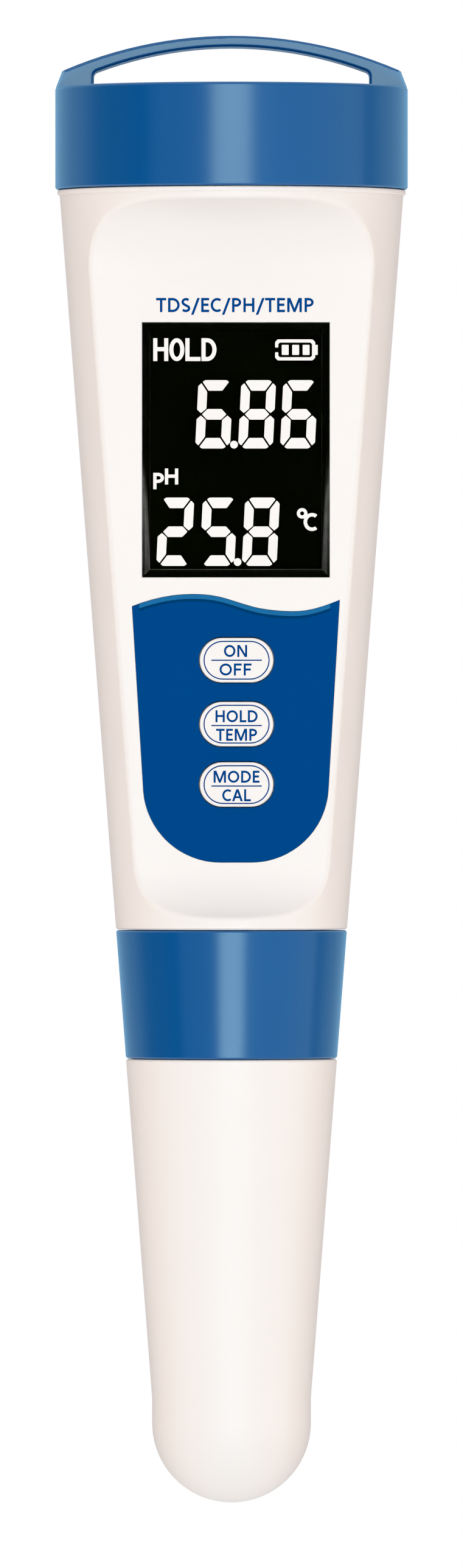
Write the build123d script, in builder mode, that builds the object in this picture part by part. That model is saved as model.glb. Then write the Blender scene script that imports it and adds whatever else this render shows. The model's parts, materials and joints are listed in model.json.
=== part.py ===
from build123d import *
from math import atan, cos, degrees, sin
import os

# A pocket water tester for pH, conductivity and temperature: a tapered pen that hangs by a low arch
# on its battery cap. Millimetres. Z runs up along the pen, the display faces -Y, and the origin is
# the middle of the arch's underside, where a lanyard bears.

os.makedirs("parts", exist_ok=True)

# ---- Driving dimensions ----------------------------------------------------------------------------

# Outer taper, shared by the housing, the collar and the protective cap
taper_start = -17.0
taper_start_radius = 20.52
taper_slope = 0.0768
wall = 1.9

# Joints between the outer pieces, from the top down
cap_top = -4.7
cap_bottom = -16.9
lip_bottom = -17.6
housing_bottom = -105.0
collar_top = -105.1
collar_bottom = -120.35
protector_top = -120.45
edge_chamfer = 0.2
cap_edge_fillet = 0.4

# Battery cap and its arch
cap_radius = 21.0
cap_wall = 2.1
cap_ceiling = -6.3
dish_radius = 18.2
dish_depth = 0.3
arch_top = 1.3
arch_outer_radius = 50.5
arch_inner_radius = 45.5
arch_width = 8.0
arch_foot_reach = 16.4
arch_shoulder = (20.25, -3.0)
arch_fillet = 0.35
loop_corner_fillet = 0.7

# Battery neck
neck_top = -7.0
neck_radius = 17.9
neck_bore = 15.9
lip_radius = 20.75
skirt_bottom = -20.4
skirt_front = -10.7
guide_width = 3.2
guide_radius = 16.4
guide_bottom = -14.8

# Screw threads
cap_pitch = 3.0
collar_pitch = 2.0
thread_height = 0.7
thread_sink = 0.3

# Front face: a plane that leans towards the axis as it goes down, scooped out at both ends
face_distance = 11.12
face_slope = 0.0261
face_start = -27.3
face_end = -97.25
top_scoop_radius = 9.0
bottom_scoop_radius = 6.2
face_wall = 2.0
face_edge_fillet = 0.7
panel_x = 0.52

# Display, from the lens inwards; depths are below the face
lens_width = 22.25
lens_height = 30.25
lens_z = -48.07
lens_thickness = 1.0
gasket_thickness = 0.1
lens_gap = 0.05
window_width = 20.4
window_height = 28.4
glass_width = 22.8
glass_height = 32.6
glass_depth = 2.05
glass_thickness = 2.1
board_depth = 6.4
board_thickness = 1.6
zebra_width = 1.8

# Keypad
overlay_thickness = 0.5
overlay_gap = 0.05
overlay_side_top = (12.36, -66.62)
wave_points = [(-5.0, 1.46), (-2.0, 1.15), (0, 0.57), (2.5, -0.16), (6.2, -0.58)]
wave_end_rise = 0.77
wave_end_slope = 0.4
overlay_side_slope = 0.0605
overlay_bottom = -97.07
overlay_corner_radius = 9.2
key_width = 8.75
key_height = 5.28
key_x = 0.6
key_z = {"on_off": -73.03, "hold_temp": -80.62, "mode_cal": -87.79}
key_proud = 0.3
key_edge_fillet = 0.18
key_hole_gap = 0.12
flange_width = 10.0
flange_height = 6.4
flange_top = 2.05
flange_bottom = 2.75
stem_bottom = 3.05
switch_top = 3.65
switch_width = 5.2
plunger_radius = 1.1
plunger_length = 1.2
seal_rim = 1.5
seal_height = 23.5

# Button cells, two by two
cell_radius = 5.8
cell_height = 5.4
cell_top = -8.55
cell_offset = 6.3
cell_crimp = 0.5
strip = 0.3
contact_disc_radius = 3.5

# Plug-in probe module
spigot_bottom = -112.6
spigot_radius = 10.6
spigot_bore = 9.0
module_top = -106.0
plug_radius = 8.8
flange_z = -114.2
module_flange_thickness = 2.2
module_flange_radius = 11.45
seat_radius = 10.6
seat_bottom = -127.0
barrel_radius = 7.6
barrel_bottom = -146.0
nose_radius = 6.6
nose_bottom = -147.5
guard_bottom = -158.5
guard_wall = 0.9

# Where the four electrodes stand in the nose
ph_place = (0, 2.7)
ph_tube_radius = 3.0
ph_bulb_radius = 3.6
ph_bulb_z = -152.2
pin_places = {"left": (-3.9, -2.3), "right": (3.9, -2.3)}
pin_radius = 0.9
pin_bottom = -153.5
probe_place = (0, -4.4)
probe_radius = 1.2
probe_bottom = -154.5
junction_place = (4.9, 3.0)
junction_radius = 0.8

# Protective cap
dome_radius = 9.46
dome_z = -163.8
straight_top = -160.8
protector_wall = 1.5
mouth_bore = 10.68
mouth_bottom = -127.2


# ---- Shared geometry -------------------------------------------------------------------------------


def taper_radius(z):
    """Radius of the pen's outer taper at height z."""
    return taper_start_radius + taper_slope * (z - taper_start)


def save(piece, name):
    """Label a finished piece and write it to its own file."""
    piece.part.label = name
    export_step(piece.part, f"parts/{name}.step")


def turned(points):
    """Solid of revolution about Z from (radius, height) points."""
    with BuildPart() as solid:
        with BuildSketch(Plane.XZ):
            with BuildLine():
                Polyline(*points, close=True)
            make_face()
        revolve(axis=Axis.Z)
    return solid.part


def ring(major, minor, z):
    """O-ring of round section."""
    with BuildPart() as torus:
        with BuildSketch(Plane.XZ):
            with Locations((major, z)):
                Circle(minor)
        revolve(axis=Axis.Z)
    return torus


def thread_ridge(root, crest, bottom, pitch, turns, base, tip, phase=0):
    """Right-hand helical ridge that stands on the root radius and is sunk a little into its wall."""
    outward = 1 if crest > root else -1
    with BuildPart() as ridge:
        with BuildLine() as path:
            Helix(pitch=pitch, height=pitch * turns, radius=root)
        with BuildSketch(Plane(origin=path.line @ 0, x_dir=(1, 0, 0), z_dir=path.line % 0)):
            with BuildLine():
                Polyline(
                    (-outward * thread_sink, -base / 2),
                    (crest - root, -tip / 2),
                    (crest - root, tip / 2),
                    (-outward * thread_sink, base / 2),
                    close=True,
                )
            make_face()
        sweep(path=path.line, is_frenet=True)
    return ridge.part.moved(Location((0, 0, bottom), (0, 0, phase)))


def mating_phase(own_bottom, other_bottom, pitch):
    """Start angle that sets a ridge midway between the turns of the ridge that it meets."""
    return 360 * ((own_bottom - other_bottom) / pitch - 0.5)


# The face's plane: its x is the pen's X, its y runs up the face, its normal leaves the pen
face = Plane(origin=(0, -face_distance, 0), x_dir=(1, 0, 0), z_dir=(0, -1, -face_slope))
face_lean = atan(face_slope)


def front_block(inset):
    """All that lies in front of the face, with its scooped ends, moved into the pen by inset."""
    away = (-cos(face_lean), -sin(face_lean))
    upper = (
        -(face_distance + face_slope * face_start) + away[0] * top_scoop_radius,
        face_start + away[1] * top_scoop_radius,
    )
    lower = (
        -(face_distance + face_slope * face_end) + away[0] * bottom_scoop_radius,
        face_end + away[1] * bottom_scoop_radius,
    )
    lean = degrees(face_lean)
    far = -1.5 * taper_start_radius
    with BuildPart() as block:
        with BuildSketch(Plane.YZ):
            with BuildLine():
                top_arc = CenterArc(upper, top_scoop_radius + inset, 90, lean - 90)
                bottom_arc = CenterArc(lower, bottom_scoop_radius + inset, lean, -90 - lean)
                Line(top_arc @ 1, bottom_arc @ 0)
                Polyline(
                    bottom_arc @ 1,
                    (far, (bottom_arc @ 1).Y),
                    (far, (top_arc @ 0).Y),
                    top_arc @ 0,
                )
            make_face()
        extrude(amount=2 * taper_start_radius, both=True)
    return block.part


def overlay_outline(gap):
    """Shield-shaped outline of the keypad overlay on the face, drawn in all round by gap."""
    half_width, side_top = overlay_side_top
    left = panel_x - half_width + gap
    right = panel_x + half_width - gap
    bottom = overlay_bottom + gap
    inward = overlay_side_slope * (side_top - overlay_bottom)
    with BuildSketch() as outline:
        with BuildLine():
            wave = Spline(
                (left, side_top - gap),
                *[(panel_x + x, side_top + rise - gap) for x, rise in wave_points],
                (right, side_top + wave_end_rise - gap),
                tangents=[(1, wave_end_slope), (1, wave_end_slope)],
            )
            Polyline(wave @ 1, (right - inward, bottom), (left + inward, bottom), wave @ 0)
        make_face()
        fillet(outline.vertices().group_by(Axis.Y)[0], overlay_corner_radius - gap)
    return outline.sketch


# ---- Housing ---------------------------------------------------------------------------------------

front = front_block(0)
housing_inner_top = taper_radius(lip_bottom) - wall
housing_inner_bottom = taper_radius(housing_bottom + wall) - wall
cavity_solid = turned(
    [
        (0, lip_bottom),
        (housing_inner_top, lip_bottom),
        (housing_inner_bottom, housing_bottom + wall),
        (0, housing_bottom + wall),
    ]
)
with BuildPart() as cavity:
    add(cavity_solid)
    add(front_block(face_wall), mode=Mode.SUBTRACT)

collar_thread_bottom = -110.8
spigot_thread_bottom = -110.6
spigot_thread = thread_ridge(
    spigot_radius, spigot_radius + thread_height, spigot_thread_bottom, collar_pitch, 2.2, 1.0, 0.5
)
keyway_width = 2.3
keyway_radius = 9.75
keyway_height = 2.6

with BuildPart() as housing:
    add(
        turned(
            [
                (0, lip_bottom),
                (taper_radius(lip_bottom), lip_bottom),
                (taper_radius(housing_bottom), housing_bottom),
                (spigot_radius, housing_bottom),
                (spigot_radius, spigot_bottom),
                (0, spigot_bottom),
            ]
        )
    )
    chamfer(housing.edges().filter_by(GeomType.CIRCLE).sort_by(SortBy.RADIUS)[-2], edge_chamfer)
    add(front, mode=Mode.SUBTRACT)
    fillet(
        [rim for rim in housing.edges(Select.NEW) if rim.geom_type != GeomType.LINE],
        face_edge_fillet,
    )
    add(cavity.part, mode=Mode.SUBTRACT)
    # Bore and keyway for the probe module
    with BuildSketch(Plane.XY.offset(spigot_bottom)):
        Circle(spigot_bore)
    extrude(amount=housing_bottom + wall - spigot_bottom, mode=Mode.SUBTRACT)
    with BuildSketch(Plane.XY.offset(spigot_bottom)):
        with Locations((0, keyway_radius / 2)):
            Rectangle(keyway_width, keyway_radius)
    extrude(amount=keyway_height, mode=Mode.SUBTRACT)
    add(spigot_thread)
    # Lens rebate and window
    with BuildSketch(face):
        with Locations((panel_x, lens_z)):
            Rectangle(lens_width + 2 * lens_gap, lens_height + 2 * lens_gap)
    extrude(amount=-(lens_thickness + gasket_thickness), mode=Mode.SUBTRACT)
    with BuildSketch(face):
        with Locations((panel_x, lens_z)):
            Rectangle(window_width, window_height)
    extrude(amount=-1.5 * face_wall, mode=Mode.SUBTRACT)
    # Recess for the overlay, and the key holes
    with BuildSketch(face):
        add(overlay_outline(0))
    extrude(amount=-overlay_thickness, mode=Mode.SUBTRACT)
    with BuildSketch(face):
        with Locations([(key_x, z) for z in key_z.values()]):
            SlotOverall(key_width + 2 * key_hole_gap, key_height + 2 * key_hole_gap)
    extrude(amount=-1.5 * face_wall, mode=Mode.SUBTRACT)
save(housing, "housing")

# ---- Battery neck: threaded ring bonded into the housing's mouth -----------------------------------

neck_thread_bottom = -11.2
groove_z = -15.2
o_ring_minor = 0.75
o_ring_major = 18.1
groove_half = 0.95
neck_thread = thread_ridge(
    neck_radius, neck_radius + thread_height, neck_thread_bottom, cap_pitch, 1.07, 1.6, 0.9
)

with BuildPart() as battery_neck:
    add(
        turned(
            [
                (neck_bore, neck_top),
                (neck_radius, neck_top),
                (neck_radius, groove_z + groove_half),
                (o_ring_major - o_ring_minor, groove_z + groove_half),
                (o_ring_major - o_ring_minor, groove_z - groove_half),
                (neck_radius, groove_z - groove_half),
                (neck_radius, taper_start),
                (lip_radius, taper_start),
                (lip_radius, lip_bottom),
                (neck_bore, lip_bottom),
            ]
        )
    )
    fillet(battery_neck.edges().filter_by(GeomType.CIRCLE).sort_by(SortBy.RADIUS)[-2:], edge_chamfer)
    # Locating skirt inside the housing, open where the front face scoops in
    with BuildSketch(Plane.XY.offset(skirt_bottom)):
        Circle(housing_inner_top - 0.4)
        Circle(neck_bore, mode=Mode.SUBTRACT)
        with Locations((0, skirt_front - taper_start_radius)):
            Rectangle(2 * taper_start_radius, 2 * taper_start_radius, mode=Mode.SUBTRACT)
    extrude(amount=lip_bottom - skirt_bottom)
    add(neck_thread)
    # Two grooves that guide the pressure plate's legs
    with BuildSketch(Plane.XY.offset(neck_top)):
        Rectangle(2 * guide_radius, guide_width)
    extrude(amount=guide_bottom - neck_top, mode=Mode.SUBTRACT)
save(battery_neck, "battery_neck")

neck_o_ring = ring(o_ring_major, o_ring_minor, groove_z)
save(neck_o_ring, "neck_o_ring")

# ---- Battery tray, cells and contacts --------------------------------------------------------------

tray_radius = 15.75
tray_top = -9.2
tray_bottom = -16.0
pocket_radius = 5.95
cell_bottom = cell_top - cell_height
pocket_floor = cell_bottom - strip
cell_places = [
    (-cell_offset, -cell_offset),
    (-cell_offset, cell_offset),
    (cell_offset, cell_offset),
    (cell_offset, -cell_offset),
]
tail_width = 2.0
tail_y = -4.3
tail_bottom = -26.0
leg_x = 9.0
leg_y = -1.2
board_top = -24.0
link_width = 2.6

with BuildPart() as battery_tray:
    with BuildSketch(Plane.XY.offset(tray_bottom)):
        Circle(tray_radius)
    extrude(amount=tray_top - tray_bottom)
    with BuildSketch(Plane.XY.offset(pocket_floor)):
        with Locations(cell_places):
            Circle(pocket_radius)
        # Slot for the link between the two rear pockets
        with Locations((0, cell_offset)):
            Rectangle(2 * cell_offset, link_width)
    extrude(amount=tray_top - pocket_floor, mode=Mode.SUBTRACT)
    # Notches for the pressure plate's legs, and slots for the contacts' tails
    with BuildSketch(Plane.XY.offset(tray_top)):
        with Locations((-tray_radius, 0), (tray_radius, 0)):
            Rectangle(2.4, guide_width + 0.3)
    extrude(amount=tray_bottom - tray_top, mode=Mode.SUBTRACT)
    with BuildSketch(Plane.XY.offset(tray_bottom)):
        with Locations((-cell_offset, tail_y), (cell_offset, tail_y)):
            Rectangle(tail_width + 0.2, strip + 0.2)
    extrude(amount=pocket_floor - tray_bottom, mode=Mode.SUBTRACT)
    # Legs that stand on the carrier
    with BuildSketch(Plane.XY.offset(tray_bottom)):
        with Locations((-leg_x, leg_y), (leg_x, leg_y)):
            Rectangle(3, 2)
    extrude(amount=board_top + 0.1 - tray_bottom)
save(battery_tray, "battery_tray")

for number, place in enumerate(cell_places, start=1):
    with BuildPart() as cell:
        with BuildSketch(Plane.XY.offset(cell_bottom)):
            with Locations(place):
                Circle(cell_radius - cell_crimp)
        extrude(amount=cell_crimp)
        with BuildSketch(Plane.XY.offset(cell_bottom + cell_crimp)):
            with Locations(place):
                Circle(cell_radius)
        extrude(amount=cell_height - cell_crimp)
        fillet(cell.faces().sort_by(Axis.Z)[-1].edges(), cell_crimp / 2)
    save(cell, f"cell_{number}")


def end_contact(side):
    """Disc under a front cell, with a tail that runs down to the board; side is -1 or 1."""
    with BuildPart() as contact:
        with BuildSketch(Plane.XY.offset(pocket_floor)):
            with Locations((side * cell_offset, -cell_offset)):
                Circle(contact_disc_radius)
        extrude(amount=strip)
        with BuildSketch(Plane.XY.offset(pocket_floor + strip)):
            with Locations((side * cell_offset, tail_y)):
                Rectangle(tail_width, strip)
        extrude(amount=tail_bottom - pocket_floor - strip)
    return contact


save(end_contact(-1), "contact_minus")
save(end_contact(1), "contact_plus")

with BuildPart() as contact_link:
    with BuildSketch(Plane.XY.offset(pocket_floor)):
        with Locations((-cell_offset, cell_offset), (cell_offset, cell_offset)):
            Circle(contact_disc_radius)
        with Locations((0, cell_offset)):
            Rectangle(2 * cell_offset, link_width - 0.4)
    extrude(amount=strip)
save(contact_link, "contact_link")

# ---- Pressure plate under the cap ------------------------------------------------------------------

plate_top = -6.6
plate_bottom = cell_top + strip + 0.05
plate_radius = 14.6
plate_leg_bottom = -14.4
hub_radius = 2.5
hub_top = -5.75
hub_bead = 0.22
bead_z = -6.1

with BuildPart() as pressure_plate:
    add(
        turned(
            [
                (0, hub_top),
                (hub_radius, hub_top),
                (hub_radius, bead_z + hub_bead),
                (hub_radius + hub_bead, bead_z),
                (hub_radius, bead_z - hub_bead),
                (hub_radius, plate_top),
                (plate_radius, plate_top),
                (plate_radius, plate_bottom),
                (0, plate_bottom),
            ]
        )
    )
    with BuildSketch(Plane.XY.offset(plate_top)):
        Rectangle(2 * (guide_radius - 0.2), guide_width - 0.2)
    extrude(amount=plate_bottom - plate_top)
    with BuildSketch(Plane.XY.offset(plate_bottom)):
        with Locations((-guide_radius + 0.7, 0), (guide_radius - 0.7, 0)):
            Rectangle(1.0, guide_width - 0.2)
    extrude(amount=plate_leg_bottom - plate_bottom)
save(pressure_plate, "pressure_plate")

for name, side in {"bridge_contact_left": -1, "bridge_contact_right": 1}.items():
    with BuildPart() as bridge:
        with BuildSketch(Plane.XY.offset(plate_bottom)):
            with Locations((side * cell_offset, -cell_offset), (side * cell_offset, cell_offset)):
                Circle(contact_disc_radius)
            with Locations((side * cell_offset, 0)):
                Rectangle(link_width, 2 * cell_offset)
        extrude(amount=-strip)
    save(bridge, name)

# ---- Battery cap with its lanyard arch -------------------------------------------------------------

cap_bore = cap_radius - cap_wall
cap_thread_bottom = -11.9
boss_radius = 4.2
boss_bottom = -6.5
hub_gap = 0.08
bead_gap = 0.06
cap_thread = thread_ridge(
    cap_bore,
    cap_bore - thread_height,
    cap_thread_bottom,
    cap_pitch,
    0.9,
    1.6,
    0.9,
    mating_phase(cap_thread_bottom, neck_thread_bottom, cap_pitch),
)

# The arch is cut to the cap's round outline, which leans in towards the arch's shoulders
arch_floor = cap_top - dish_depth
arch_envelope = turned(
    [
        (0, arch_floor),
        (cap_radius - 0.1, arch_floor),
        (cap_radius - 0.1, cap_top),
        arch_shoulder,
        (arch_shoulder[0], arch_top),
        (0, arch_top),
    ]
)
with BuildSketch() as loop_window:
    with Locations((0, -arch_inner_radius)):
        Circle(arch_inner_radius)
    with Locations((0, arch_floor)):
        Rectangle(
            2 * arch_foot_reach, 10, align=(Align.CENTER, Align.MIN), mode=Mode.INTERSECT
        )
    fillet(loop_window.vertices(), loop_corner_fillet)

with BuildPart() as arch:
    with BuildSketch(Plane.XZ):
        with Locations((0, arch_top - arch_outer_radius)):
            Circle(arch_outer_radius)
        with Locations((0, arch_floor)):
            Rectangle(
                4 * arch_foot_reach, 10, align=(Align.CENTER, Align.MIN), mode=Mode.INTERSECT
            )
        add(loop_window.sketch, mode=Mode.SUBTRACT)
    extrude(amount=arch_width / 2, both=True)
    fillet(arch.edges().filter_by(GeomType.CIRCLE).filter_by(lambda e: e.radius > 40), arch_fillet)
    add(arch_envelope, mode=Mode.INTERSECT)

with BuildPart() as battery_cap:
    add(
        turned(
            [
                (0, arch_floor),
                (dish_radius, arch_floor),
                (dish_radius + 0.3, cap_top),
                (cap_radius, cap_top),
                (cap_radius, cap_bottom),
                (cap_bore, cap_bottom),
                (cap_bore, cap_ceiling),
                (boss_radius, cap_ceiling),
                (boss_radius, boss_bottom),
                (hub_radius + hub_gap, boss_bottom),
                (hub_radius + hub_gap, bead_z - hub_bead - bead_gap),
                (hub_radius + hub_gap + hub_bead, bead_z),
                (hub_radius + hub_gap, bead_z + hub_bead + bead_gap),
                (hub_radius + hub_gap, hub_top + 0.1),
                (0, hub_top + 0.1),
            ]
        )
    )
    outer_rims = battery_cap.edges().filter_by(GeomType.CIRCLE).group_by(SortBy.RADIUS)[-1]
    fillet(outer_rims.sort_by(Axis.Z)[-1], cap_edge_fillet)
    chamfer(outer_rims.sort_by(Axis.Z)[0], edge_chamfer)
    add(cap_thread)
    add(arch.part)
save(battery_cap, "battery_cap")

# ---- Display stack, all in planes parallel to the face ---------------------------------------------


def face_slab(name, width, height, depth, thickness, centre=(panel_x, lens_z), hole=None):
    """Rectangular plate that starts at a depth below the face, with an optional rectangular hole."""
    with BuildPart() as slab:
        with BuildSketch(face.offset(-depth)):
            with Locations(centre):
                Rectangle(width, height)
                if hole:
                    Rectangle(*hole, mode=Mode.SUBTRACT)
        extrude(amount=-thickness)
    save(slab, name)


glass_back = glass_depth + glass_thickness
zebra_z = (glass_height - zebra_width) / 2 - 0.5
frame_top = 2.9
frame_wall = 0.7

with BuildPart() as display_lens:
    with BuildSketch(face.offset(-0.02)):
        with Locations((panel_x, lens_z)):
            Rectangle(lens_width, lens_height)
    extrude(amount=-(lens_thickness - 0.02))
    chamfer(display_lens.faces().sort_by(Axis.Y)[0].edges(), 0.1)
save(display_lens, "display_lens")

face_slab(
    "lens_gasket",
    lens_width - 0.1,
    lens_height - 0.1,
    lens_thickness,
    gasket_thickness,
    hole=(window_width, window_height),
)
face_slab("lcd_glass", glass_width, glass_height, glass_depth, glass_thickness)
face_slab(
    "lcd_backlight", glass_width - 1.0, glass_height - 2 * zebra_width - 2.0, glass_back + 0.05, 1.9
)
for name, sign in {"zebra_upper": 1, "zebra_lower": -1}.items():
    face_slab(
        name,
        glass_width - 1.0,
        zebra_width,
        glass_back,
        board_depth - glass_back,
        (panel_x, lens_z + sign * zebra_z),
    )
face_slab(
    "lcd_frame",
    glass_width + 2 * frame_wall + 0.2,
    glass_height + 2 * frame_wall + 0.2,
    frame_top,
    board_depth - frame_top,
    hole=(glass_width + 0.2, glass_height + 0.2),
)

# ---- Keypad ----------------------------------------------------------------------------------------

with BuildPart() as keypad_overlay:
    with BuildSketch(face.offset(-overlay_thickness)):
        add(overlay_outline(overlay_gap))
        with Locations([(key_x, z) for z in key_z.values()]):
            SlotOverall(
                key_width + 2 * key_hole_gap, key_height + 2 * key_hole_gap, mode=Mode.SUBTRACT
            )
    extrude(amount=overlay_thickness - 0.02)
save(keypad_overlay, "keypad_overlay")

seal_margin = 0.15
key_stem_radius = 1.4
with BuildPart() as key_seal:
    with BuildSketch(face.offset(-flange_top)):
        with Locations((key_x, key_z["hold_temp"])):
            RectangleRounded(flange_width + 2 * seal_rim, seal_height, seal_rim)
        with Locations([(key_x, z) for z in key_z.values()]):
            SlotOverall(
                flange_width + 2 * seal_margin, flange_height + 2 * seal_margin, mode=Mode.SUBTRACT
            )
    extrude(amount=-(flange_bottom - flange_top))
save(key_seal, "key_seal")

for name, z in key_z.items():
    with BuildPart() as key:
        with BuildSketch(face.offset(-flange_bottom)):
            with Locations((key_x, z)):
                SlotOverall(flange_width, flange_height)
        extrude(amount=flange_bottom - flange_top)
        with BuildSketch(face.offset(-flange_top)):
            with Locations((key_x, z)):
                SlotOverall(key_width, key_height)
        extrude(amount=flange_top + key_proud)
        fillet(key.faces().sort_by(Axis.Y)[0].edges(), key_edge_fillet)
        with BuildSketch(face.offset(-flange_bottom)):
            with Locations((key_x, z)):
                Circle(key_stem_radius)
        extrude(amount=-(stem_bottom - flange_bottom))
    save(key, f"key_{name}")

    with BuildPart() as plunger:
        with BuildSketch(face.offset(-stem_bottom)):
            with Locations((key_x, z)):
                Circle(plunger_radius)
        extrude(amount=-plunger_length)
    save(plunger, f"plunger_{name}")

    with BuildPart() as switch:
        with BuildSketch(face.offset(-switch_top)):
            with Locations((key_x, z)):
                RectangleRounded(switch_width, switch_width, 0.4)
        extrude(amount=-(board_depth - switch_top))
        with BuildSketch(face.offset(-switch_top)):
            with Locations((key_x, z)):
                Circle(plunger_radius + 0.1)
        extrude(amount=-1.5, mode=Mode.SUBTRACT)
    save(switch, f"switch_{name}")

# ---- Main board and its carrier --------------------------------------------------------------------

board_bottom = -100.35
board_waist_z = -66.0
board_outline = [(14.2, board_top), (13.4, board_waist_z), (10.4, board_bottom)]
board_back = board_depth + board_thickness
carrier_thickness = 2.6
carrier_rim = 2.6
screw_places = [(-11.9, -27.2), (11.9, -27.2), (-8.6, -96.6), (8.6, -96.6)]
screw_radius = 1.0
screw_length = 5.0
screw_head_radius = 1.75
screw_head_height = 1.1
rib_x = 7.0
rib_length = 66
board_middle = (board_top + board_bottom) / 2


def board_shape(inset):
    """Board outline on the face, shrunk at its sides and ends by inset."""
    with BuildSketch() as shape:
        with BuildLine():
            Polyline(
                *[(x, z) for x, z in board_outline],
                *[(-x, z) for x, z in reversed(board_outline)],
                close=True,
            )
        make_face()
        offset(amount=-inset)
    return shape.sketch


with BuildPart() as main_board:
    with BuildSketch(face.offset(-board_depth)):
        add(board_shape(0))
        with Locations(screw_places):
            Circle(screw_radius, mode=Mode.SUBTRACT)
    extrude(amount=-board_thickness)
save(main_board, "main_board")

# The carrier's ribs reach back to the housing's wall
rib_envelope = turned(
    [
        (0, board_top),
        (taper_radius(board_top) - wall - 0.25, board_top),
        (taper_radius(board_bottom) - wall - 0.25, board_bottom),
        (0, board_bottom),
    ]
)
with BuildPart() as carrier:
    with BuildSketch(face.offset(-board_back)):
        add(board_shape(0.1))
        add(board_shape(carrier_rim), mode=Mode.SUBTRACT)
        with Locations((0, board_waist_z)):
            Rectangle(26, carrier_rim)
        with Locations(screw_places):
            Circle(2.4)
        with Locations((-rib_x, board_middle), (rib_x, board_middle)):
            Rectangle(1.6, board_top - board_bottom - 1)
    extrude(amount=-carrier_thickness)
    with BuildSketch(face.offset(-board_back - carrier_thickness)):
        with Locations((-rib_x, board_middle), (rib_x, board_middle)):
            Rectangle(1.2, rib_length)
    extrude(amount=-taper_start_radius)
    add(rib_envelope, mode=Mode.INTERSECT)
    with BuildSketch(face.offset(-board_back)):
        with Locations(screw_places):
            Circle(screw_radius)
    extrude(amount=-(screw_length - board_thickness), mode=Mode.SUBTRACT)
save(carrier, "carrier")

with BuildPart() as board_screws:
    with BuildSketch(face.offset(-board_depth)):
        with Locations(screw_places):
            Circle(screw_head_radius)
    extrude(amount=screw_head_height)
    chamfer(board_screws.faces().sort_by(Axis.Y)[:4].edges(), 0.25)
    with BuildSketch(face.offset(-board_depth)):
        with Locations(screw_places):
            Circle(screw_radius)
    extrude(amount=-screw_length)
save(board_screws, "board_screws")

chip_size = 7.0
face_slab("microcontroller", chip_size, chip_size, board_back, 1.4, (0, -80))

with BuildPart() as board_components:
    with BuildSketch(face.offset(-board_back)):
        with Locations((0, -45)):
            with GridLocations(2.8, 2.4, 3, 5):
                Rectangle(1.6, 0.8)
        with Locations((0, -90), (0, -56)):
            with GridLocations(2.4, 2.4, 3, 2):
                Rectangle(1.6, 0.8)
    extrude(amount=-0.7)
    with BuildSketch(face.offset(-board_back)):
        with Locations((0, -32), (0, -72.5)):
            Rectangle(5, 4)
    extrude(amount=-1.5)
save(board_components, "board_components")

# ---- Socket that the probe module plugs into -------------------------------------------------------

socket_radius = 7.0
socket_top = board_bottom - 0.1
socket_bottom = -105.4
contact_circle = 4.6
contact_count = 6
contact_radius = 0.4
contact_top = -102.0

with BuildPart() as sensor_socket:
    with BuildSketch(Plane.XY.offset(socket_bottom)):
        Circle(socket_radius)
        with PolarLocations(contact_circle, contact_count):
            Circle(contact_radius + 0.2, mode=Mode.SUBTRACT)
    extrude(amount=socket_top - socket_bottom)
    chamfer(sensor_socket.faces().sort_by(Axis.Z)[0].outer_wire().edges(), 0.4)
save(sensor_socket, "sensor_socket")

lead_y = -2.5
with BuildPart() as socket_leads:
    with BuildSketch(Plane.XY.offset(socket_top)):
        with Locations((0, lead_y)):
            with GridLocations(1.6, 1, contact_count, 1):
                Circle(0.25)
    extrude(amount=3.2)
save(socket_leads, "socket_leads")

# ---- Probe module ----------------------------------------------------------------------------------

module_ring_major = 8.4
module_ring_minor = 0.55
module_ring_z = -108.4
module_ring_half = 0.75
pin_board_thickness = 1.2
pin_board_radius = 7.4
hollow_radius = 6.6
hollow_bottom = -112.0
seat_ring_major = 10.05
seat_ring_minor = 0.6
seat_ring_z = -123.6
seat_ring_half = 0.8
key_rib_width = 2.0
key_rib_radius = 9.6

electrode_holes = [
    (ph_place, ph_tube_radius, hollow_bottom),
    (probe_place, probe_radius, hollow_bottom),
    (pin_places["left"], pin_radius, hollow_bottom),
    (pin_places["right"], pin_radius, hollow_bottom),
]

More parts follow.
